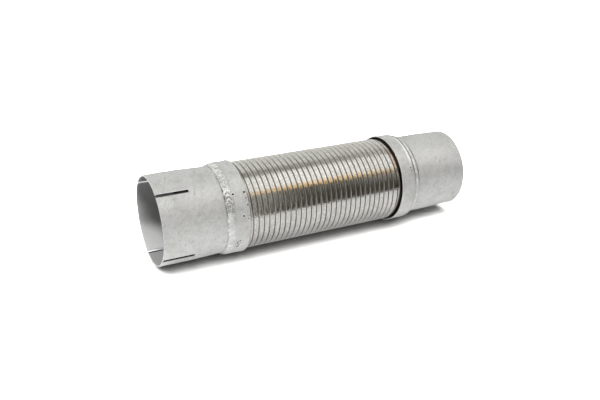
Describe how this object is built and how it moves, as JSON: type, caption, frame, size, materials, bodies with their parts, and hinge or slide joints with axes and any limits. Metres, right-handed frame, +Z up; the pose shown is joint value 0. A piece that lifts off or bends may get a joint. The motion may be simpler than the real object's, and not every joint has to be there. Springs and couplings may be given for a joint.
{
  "type": "exhaust flex pipe",
  "caption": "Flexible exhaust connecting pipe: a strip-wound interlocked hose between a slotted inlet socket and a plain outlet spigot, held by welded collars.",
  "frame": {"origin": "on the surface that the pipe lies on, below its axis, halfway along its length", "axes": "+X along the pipe from the slotted inlet to the outlet, +Z up"},
  "size_m": [0.52, 0.141, 0.141],
  "materials": {
    "aluminised_tube": "matte aluminised steel sheet with faint scratches",
    "aluminised_collar": "matte aluminised steel pressing",
    "hose_strip": "bright rolled steel strip with a brown tint between the turns",
    "inlet_weld_metal": "bright rippled weld metal",
    "outlet_weld_metal": "smooth bright weld metal"
  },
  "bodies": {
    "root": {"slotted_inlet_tube": "aluminised_tube", "inlet_collar": "aluminised_collar", "inlet_weld_bead": "inlet_weld_metal", "wound_hose": "hose_strip", "outlet_collar": "aluminised_collar", "outlet_weld_bead": "outlet_weld_metal", "outlet_tube": "aluminised_tube"}
  },
  "joints": []
}
